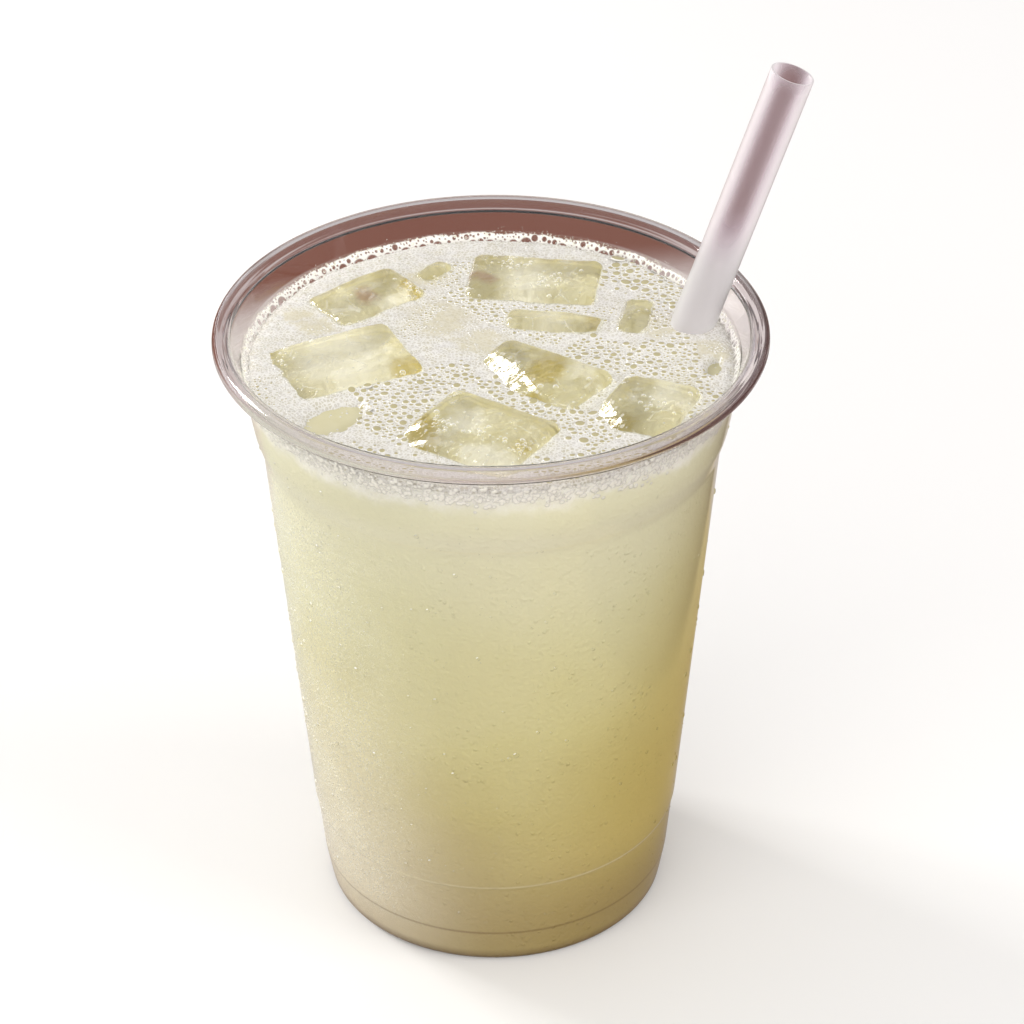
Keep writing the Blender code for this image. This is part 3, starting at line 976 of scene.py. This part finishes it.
# %% Give the bubbles their finishes
def foam(name, middle_dark, middle_light, white_from):
    """A finish for bubbles in a crowd: what is under the film shows in the middle, and the edge is white."""
    made = Finish(name, Roughness=0.16, IOR=1.35, Coat_Weight=1.0, Coat_Roughness=0.03, Coat_IOR=1.8)
    middle = made.cloud(3, 2).mix(middle_dark, middle_light)
    whitening = made.attribute("rim").span(white_from, white_from + 0.35)
    made.wear(Base_Color=whitening.mix(middle, rgb(234, 232, 226)))
    return made


net_foam = foam("net_foam", rgb(168, 158, 110), rgb(186, 178, 138), 0.25)
fine_foam = foam("fine_foam", rgb(207, 204, 190), rgb(219, 217, 208), 0.5)
fringe_foam = foam("fringe_foam", rgb(248, 246, 234), rgb(253, 252, 246), 0.3)

film_finish = Finish("film_bubbles", Base_Color=rgb(250, 249, 242), Roughness=0.12, IOR=1.35,
                     Coat_Weight=0.8, Coat_Roughness=0.03)
milkiness = film_finish.turned_away().span(0.2, 0.6, 0.2, 1.0)
film = milkiness.blend(film_finish.clear(rgb(250, 250, 242)), film_finish.own)
film_finish.lets_light_in(rgb(246, 246, 240), film)

COARSE_FROM, WIDE_FROM = 0.27 * MM, 0.6 * MM
SUNK = 0.06  # how deep a bubble sits in the froth, as a share of its radius
wide = radii >= WIDE_FROM
fine = radii < COARSE_FROM
for name, chosen, form, finish in (
    ("fine_bubbles", fine & ~on_ice, dome(2, 6, 0.7), fine_foam),
    ("coarse_bubbles", ~fine & ~wide & ~on_ice, dome(4, 12, 0.32), net_foam),
    ("wide_bubbles", wide & ~on_ice, dome(8, 18, 0.36), net_foam),
    ("ice_bubbles", on_ice & kept, dome(4, 10, 0.7), film_finish),
):
    middles = spots[chosen] - ways[chosen] * radii[chosen, None] * SUNK
    new_crowd(name, form, zip(middles, ways[chosen], radii[chosen]), finish)

# %% [markdown]
# Where the froth meets the wall, one looks at the foam edge on. It is a white net with holes: each hole is a
# bubble that touches the plastic, and through it one sees what is behind the cup. The holes are wide at the
# bottom and ever smaller towards the top, where the foam dries out. The net is a fine sheet just inside the
# wall. Every point of it is told if it lies in a hole, with a soft border, and that value drives Alpha.

# %% Throw the holes of the net
NET_LOW, NET_TOP = 109.1, 112.5  # mm
NET_LEAN = 1.8  # how far its foot stands out from the wall, in mm
HOLES = (  # tries, lowest and highest middle, smallest and largest radius, all in mm
    (340, 110.0, 110.7, 0.65, 1.1),
    (900, 110.6, 111.6, 0.28, 0.55),
    (4000, 110.6, 112.1, 0.10, 0.24),
)
WALL_GIRTH = 2 * math.pi * wall_radius(111.4 * MM) / MM
HOLE_GAP = 0.16


def along_wall(here, there):
    """How far it is from there to here along the wall, the shorter way round."""
    return (here - there + WALL_GIRTH / 2) % WALL_GIRTH - WALL_GIRTH / 2


holes = np.empty((0, 3))  # along the wall, height, radius
for tries, low, high, small, large in HOLES:
    for _ in range(tries):
        around, height, radius = within(0, WALL_GIRTH), within(low, high), within(small, large)
        clear = np.hypot(along_wall(holes[:, 0], around), holes[:, 1] - height) - holes[:, 2] - radius
        if not len(holes) or clear.min() > HOLE_GAP * (1 + 2 * radius):
            holes = np.vstack([holes, (around, height, radius)])
print("holes in the net:", len(holes))

# %% Make the net
NET_COLUMNS, NET_ROWS = 1900, 32
arounds = np.arange(NET_COLUMNS) / NET_COLUMNS * WALL_GIRTH
heights = np.linspace(NET_LOW, NET_TOP, NET_ROWS)
openness = np.zeros((NET_ROWS, NET_COLUMNS))
spread = WALL_GIRTH / NET_COLUMNS
for around, height, radius in holes:
    reach = int(1.6 * radius / spread) + 2
    columns = (int(around / spread) + np.arange(-reach, reach + 1)) % NET_COLUMNS
    along = along_wall(arounds[columns], around)
    far = np.hypot(along[None] * 0.86, heights[:, None] - height) / radius
    openness[:, columns] = np.maximum(openness[:, columns], ((1.12 - far) / 0.24).clip(0, 1))
turns = 2 * math.pi * arounds / WALL_GIRTH
ragged = np.array([
    112.05 + 0.35 * wall_noise(turn, 0.1, 9) + 0.12 * wall_noise(turn, 0.2, 60) for turn in turns])
openness = np.maximum(openness, ((heights[:, None] - ragged) / 0.12).clip(0, 1))
stand_out = NET_LEAN * (1 - (heights - NET_LOW) / (NET_TOP - NET_LOW)).clip(0, 1) ** 1.3
net_radius = (wall_radius(heights * MM) - INTO_WALL * 1.3 - stand_out * MM)[:, None] + 0.1 * MM * openness
net_heights = np.broadcast_to(heights[:, None] * MM, openness.shape)
net = np.stack([net_radius * np.cos(turns), net_radius * np.sin(turns), net_heights], 2)

net_finish = Finish("foam_net", Base_Color=rgb(246, 244, 238), Roughness=0.3,
                    Coat_Weight=0.5, Coat_Roughness=0.1)
net_finish.wear(Alpha=1 - net_finish.attribute("rim") * 0.96)
net_finish.bump(net_finish.cloud(0.35, 2), 0.12)
new_piece("foam_net", *stitched(net), net_finish, "froth", rim=openness.ravel())

# %% [markdown]
# Small bubbles cling to the net and to the wall above it, and stand out against the darker plastic.

# %% Bubbles and specks on the wall
WALL_ROWS = (  # count, lowest and highest middle, smallest and largest radius, all in mm
    (160, 111.0, 111.9, 0.15, 0.3),
    (700, 111.9, 112.5, 0.06, 0.14),
    (240, 112.3, 113.4, 0.05, 0.1),
)


def ball(rings, sides):
    """Two domes, foot to foot."""
    top_points, top_faces, rim = dome(rings, sides, 1.0)
    low = top_points * (1, 1, -1)
    return (np.concatenate([top_points, low]), np.concatenate([top_faces, top_faces[:, ::-1] + len(low)]),
            np.concatenate([rim, rim]))


UP = (0.0, 0.0, 1.0)
big_ones, small_ones = [], []
for count, low, high, small, large in WALL_ROWS:
    for _ in range(count):
        turn, height, radius = within(0, 2 * math.pi), within(low, high) * MM, within(small, large) * MM
        if height > 112.4 * MM and wall_noise(turn, 3, 4) < -0.05:
            continue
        spot = spot_at(turn, wall_radius(height) - INTO_WALL * 1.4 - radius * 0.8, height)
        (big_ones if radius > 0.25 * MM else small_ones).append((spot, UP, radius))
new_crowd("wall_bubbles", ball(4, 14), big_ones, film_finish)
new_crowd("small_wall_bubbles", ball(2, 7), small_ones, film_finish)

# %% [markdown]
# From outside, the edge of the foam is seen through the cup as bubbles pressed flat against the plastic:
# a dense fringe at the top, thinning out downwards. They are shallow domes that face outwards and sit between
# the juice and the outer side of the plastic.

# %% Bubbles pressed against the cup
FRINGE_COUNT = 3400
THICK_AT = math.radians(297)  # where the fringe hangs lowest
outer_side = cup_profile[:cup_profile[:, 1].argmax()]
outer_side = outer_side[outer_side[:, 1] < 114 * MM]


def outer_radius(height):
    """How far the outside of the cup is from the axis."""
    return np.interp(height, outer_side[:, 1], outer_side[:, 0])


def outward(turn, height):
    """The way that the outer wall faces."""
    slope = (outer_radius(height + MM) - outer_radius(height - MM)) / (2 * MM)
    return Vector(spot_at(turn, 1.0, -slope)).normalized()


fringe = []
for _ in range(FRINGE_COUNT):
    turn = within(0, 2 * math.pi)
    thick = 1.0 + 0.8 * math.exp(-((turn - THICK_AT) / 0.35) ** 2) + 0.3 * wall_noise(turn, 5, 3)
    # At the back it stays under the holes of the net
    top = 112.0 - 1.8 * at_the_back(wall_radius(juice_level) * math.sin(turn))
    height = (top - 3.0 * luck.random() - abs(luck.normal()) * 0.8 * thick) * MM
    radius = within(0.14, 0.62) ** 1.3 * MM
    fringe.append((spot_at(turn, wall_radius(height) + 0.04 * MM, height), outward(turn, height), radius))
new_crowd("fringe_bubbles", dome(3, 7, 0.22), fringe, fringe_foam)

# %% [markdown]
# ## Condensation
# A cold cup in warm air is covered with drops: a fine mist of tiny ones, dense on the side that the air
# moves past, and single larger ones that have grown by swallowing their neighbours. Each is a shallow dome of
# water on the outside of the plastic, with a painted highlight, a pale glint where it faces the fill light,
# and painted shade on the side that turns away from that light, mostly its foot.

# %% Scatter the drops
DROP_KINDS = (  # name, form, count, smallest and largest radius in mm, share on the dense side
    ("fine_drops", dome(2, 5, 0.5), 7600, 0.06, 0.18, 0.74),
    ("drops", dome(4, 12, 0.45), 520, 0.16, 0.6, 0.35),
)
DENSE_SIDE, DENSE_WIDTH = math.radians(186), math.radians(24)
water = Finish("water_drops", Base_Color=(1, 1, 1), Roughness=0.02, IOR=1.33, Transmission_Weight=1.0)
water.bump(water.cloud(2, 1), 0.01)
facing = water.normal().dot((-0.45, -0.55, 0.7))
# painted highlight where a drop faces the light
glint = facing.span(0.82, 0.95) * water.cloud(1.2, 1).span(0.35, 0.6, 0.25, 0.95)
drop = glint.blend(water.own, water.wet(rgb(250, 250, 244), 0.08))
# painted shade where a drop turns away from the light
drop = facing.span(0.35, 0.0, 0.0, 0.2).blend(drop, water.dull(rgb(120, 106, 62)))
water.lets_light_in((1, 1, 1), drop)
for name, form, count, small, large, dense_share in DROP_KINDS:
    drops = []
    while len(drops) < count:
        dense = luck.random() < dense_share
        turn = luck.normal(DENSE_SIDE, DENSE_WIDTH) if dense else within(0, 2 * math.pi)
        height = within(9, 103) * MM
        if wall_noise(turn, height / (40 * MM), 5) < -0.15:
            continue
        way = np.array(outward(turn, height))
        middle = np.array(spot_at(turn, outer_radius(height), height)) - way * 0.02 * MM
        drops.append((middle, way, (small + (large - small) * luck.random() ** 2) * MM))
    new_crowd(name, form, drops, water, "clear_plastic")

# %% [markdown]
# ## The straw
# The straw is a thin tube of milky plastic that lets light through. Its solid has few sides, so the tube is
# drawn again with many, on the axis that is measured from the solid: the middles of its two end rings.

# %% Measure the straw and draw it again
STRAW_SIDES, STRAW_STEPS = 48, 60
LIP = 0.08 * MM  # how far the edges of its ends are cut back
corners = places(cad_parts["straw"].data)
lean = np.linalg.svd(corners - corners.mean(0))[2][0]
lean *= np.sign(lean[2])
along = (corners - corners.mean(0)) @ lean
foot, mouth = corners[along < along.min() + MM].mean(0), corners[along > along.max() - MM].mean(0)
from_axis = np.linalg.norm(np.cross(corners - foot, lean), axis=1)
outer, inner = from_axis.max(), from_axis.min()
length = (mouth - foot) @ lean
steps = np.linspace(LIP, length - LIP, STRAW_STEPS)
wall_line = [(outer, step) for step in steps] + [(outer - LIP, length), (inner + LIP, length)]
wall_line += [(inner, step) for step in steps[::-1]] + [(inner + LIP, 0), (outer - LIP, 0), (outer, LIP)]
points, faces = turned(np.array(wall_line), STRAW_SIDES)
upright_to_lean = np.array(Vector(lean).to_track_quat("Z", "Y").to_matrix())
straw_points = points @ upright_to_lean.T + foot
print("straw:", round(2 * outer / MM, 2), "mm across,", round(length / MM, 1), "mm long")

# %% Give the straw its finish
straw_finish = Finish("milky_plastic", Roughness=0.28, IOR=1.49, Coat_Weight=0.3, Coat_Roughness=0.15)
low_part = straw_finish.place().axis("Z").span(134, 122)
straw_finish.wear(Base_Color=low_part.mix(rgb(228, 223, 225), rgb(208, 206, 207)))
milkiness = straw_finish.turned_away().span(0.05, 0.6, 0.07, 0.95)
milkiness = milkiness + (1 - milkiness) * low_part * 0.6
straw_finish.bump(straw_finish.cloud(2, 3), 0.03)
tube = milkiness.blend(straw_finish.clear(rgb(244, 240, 242)), straw_finish.own)
straw_finish.lets_light_in(rgb(235, 232, 236), tube)
clean(new_piece("straw_tube", straw_points, faces, straw_finish, "milky_plastic", "straw"))

# %% [markdown]
# ## Camera
# The camera looks down at about 34 degrees with a long lens, as one looks at a drink on a table. It aims at
# the middle of the drink and is then turned by a degree or so, which puts the drink where it belongs in the
# picture without a lens shift, so that the camera can be moved round the drink.

# %% Place the camera
AIM = Vector((0, 0, 59 * MM))
DISTANCE, ELEVATION = 0.7015, 34.19
ROLL, PAN, TILT = -0.577, -0.2772, 1.3471
LENS_PIXELS, FRAME_PIXELS, SENSOR = 3820, 1024, 36

look = math.radians(ELEVATION)
spot = AIM + Vector((0, -math.cos(look), math.sin(look))) * DISTANCE
camera = bpy.data.objects.new("camera", bpy.data.cameras.new("camera"))
camera.data.sensor_width = SENSOR
camera.data.lens = LENS_PIXELS / FRAME_PIXELS * SENSOR
camera.data.clip_start = 0.01
turning = Matrix.Identity(3)
for angle, axis in ((90 - ELEVATION, "X"), (ROLL, "Z"), (PAN, "Y"), (TILT, "X")):
    turning = turning @ Matrix.Rotation(math.radians(angle), 3, axis)
camera.matrix_world = Matrix.Translation(spot) @ turning.to_4x4()
bpy.context.scene.collection.objects.link(camera)
bpy.context.scene.camera = camera
print("camera at", tuple(round(c, 4) for c in spot), "lens", round(camera.data.lens, 1))

# %% [markdown]
# ## Light and floor
# The light is a window with two panes, on the left and a little behind the drink, so that it lights the froth
# from behind and leaves flecks on the ice. Two wide soft lights in front, one on each side, and a weak one
# above fill the shadows. The floor is pale. Clear things show what surrounds them, and a drink on a white
# sheet under a white sky would have no edges at all. So rays that have passed or left the drink see a brown
# table with a pale cloth on it, dark on the far right, and a grey room with a bright and a dark part.

# %% Set up the light
def area_light(name, way, distance, size, power, colour):
    """A rectangle of light that faces the drink. Way, distance and size are in metres, and power in watts."""
    light = bpy.data.objects.new(name, bpy.data.lights.new(name, "AREA"))
    light.data.shape, light.data.size, light.data.size_y = "RECTANGLE", *size
    light.data.energy, light.data.color = power, colour
    light.location = AIM + Vector(way).normalized() * distance
    light.rotation_euler = (light.location - AIM).to_track_quat("Z", "Y").to_euler()
    bpy.context.scene.collection.objects.link(light)
    return light


for side in (-1, 1):  # two panes with a bar between them
    pane = area_light("window_pane", (-0.66, 0.46, 0.56), 1.0, (0.12, 0.28), 2.0, (1.0, 0.985, 0.96))
    pane.location += pane.rotation_euler.to_matrix() @ Vector((side * 0.07, 0, 0))
for light in (
    area_light("soft_top", (-0.15, -0.25, 1.0), 1.2, (0.9, 0.9), 0.1, (1.0, 0.99, 0.975)),
    area_light("fill", (-0.65, -1.0, 0.38), 1.4, (1.7, 0.8), 13.2, (1.0, 0.995, 0.98)),
    area_light("right_fill", (1.0, -0.35, 0.38), 1.4, (0.9, 0.8), 10.0, (1.0, 0.99, 0.97)),
):  # they would leave square glints on the rear wall
    light.visible_glossy = light.visible_transmission = False

# %% [markdown]
# The room is a colour for every height, from brown below to pale above. Behind the drink it has a narrow
# bright part on the left and a dark part on the right, for the clear rim to show. The camera itself sees
# plain white.

# %% Paint the room
world = bpy.data.worlds.new("room")
world.use_nodes = True
bpy.context.scene.world = world


class Room(Finish):
    """The same helper, for the world's nodes."""

    def __init__(self, world):
        self.tree = world.node_tree


room = Room(world)
way = room.node("TexCoord", output="Generated")
across, away, up = (way.axis(axis) for axis in "XYZ")
around = room.ramp(
    up * 0.5 + 0.5,
    (0.0, (0.16, 0.09, 0.07)), (0.42, (0.3, 0.22, 0.2)), (0.5, (0.54, 0.49, 0.47)),
    (0.62, (0.56, 0.53, 0.53)), (1.0, (0.75, 0.74, 0.73)))
behind = away.span(0.3, 0.5)
bright_wall = up.line_at(0.05, 0.07) * across.span(-0.25, -0.4) * behind
dark_wall = up.line_at(0.03, 0.25) * across.span(0.2, 0.4) * behind
around = dark_wall.mix(bright_wall.mix(around, (3.5, 3.5, 3.6)), (0.06, 0.03, 0.03))
seen = room.ray("Is Camera Ray").mix(around, (0.97, 0.97, 0.97))
room.feed(world.node_tree.nodes["Background"].inputs["Color"], seen)
print("nodes in the room:", len(world.node_tree.nodes))

# %% Lay the floor
FLOOR_HALF = 1.5
floor_mesh = bpy.data.meshes.new("floor")
floor_corners = [(x * FLOOR_HALF, y * FLOOR_HALF, 0) for x, y in ((-1, -1), (1, -1), (1, 1), (-1, 1))]
floor_mesh.from_pydata(floor_corners, [], [(0, 1, 2, 3)])
floor = bpy.data.objects.new("floor", floor_mesh)
bpy.context.scene.collection.objects.link(floor)
floor_finish = Finish("floor", Roughness=0.6, Specular_IOR_Level=0.2)
direct = floor_finish.ray("Is Camera Ray") * (1 - floor_finish.ray("Transparent Depth"))
direct = direct + floor_finish.ray("Is Diffuse Ray") * 0.75
place = floor_finish.place()
across, away = place.axis("X"), place.axis("Y")
aside = floor_finish.node("Math", {"operation": "ABSOLUTE"}, {0: across})
table = floor_finish.cloud(90, 3).mix((0.145, 0.034, 0.013), (0.19, 0.065, 0.036))
table = (across.span(45, 75) * 0.5).mix(table, (0.26, 0.17, 0.17))
near_drink = away.span(125, 95)
cloth = (across.span(30, 60) * away.span(140, 180)).mix((0.50, 0.44, 0.42), (0.78, 0.73, 0.71))
cloth = (across.span(24, 60) * near_drink).mix(cloth, (0.46, 0.36, 0.18))
cloth = (across.span(-24, -60) * near_drink).mix(cloth, (0.56, 0.56, 0.48))
table = (away - across * 0.175 - aside * 0.075).span(236, 200).mix(table, cloth)
table = across.span(78, 92).mix(table, (0.09, 0.04, 0.035))
floor_finish.wear(Base_Color=direct.mix(table, (0.9, 0.9, 0.9)))
floor_mesh.materials.append(floor_finish.material)
print("floor:", 2 * FLOOR_HALF, "m wide")

# %% Choose how light becomes colour
scene = bpy.context.scene
scene.view_settings.view_transform = "Standard"
scene.cycles.max_bounces = 16
scene.cycles.transmission_bounces = 12
scene.cycles.transparent_max_bounces = 24
print("bounces:", scene.cycles.max_bounces)
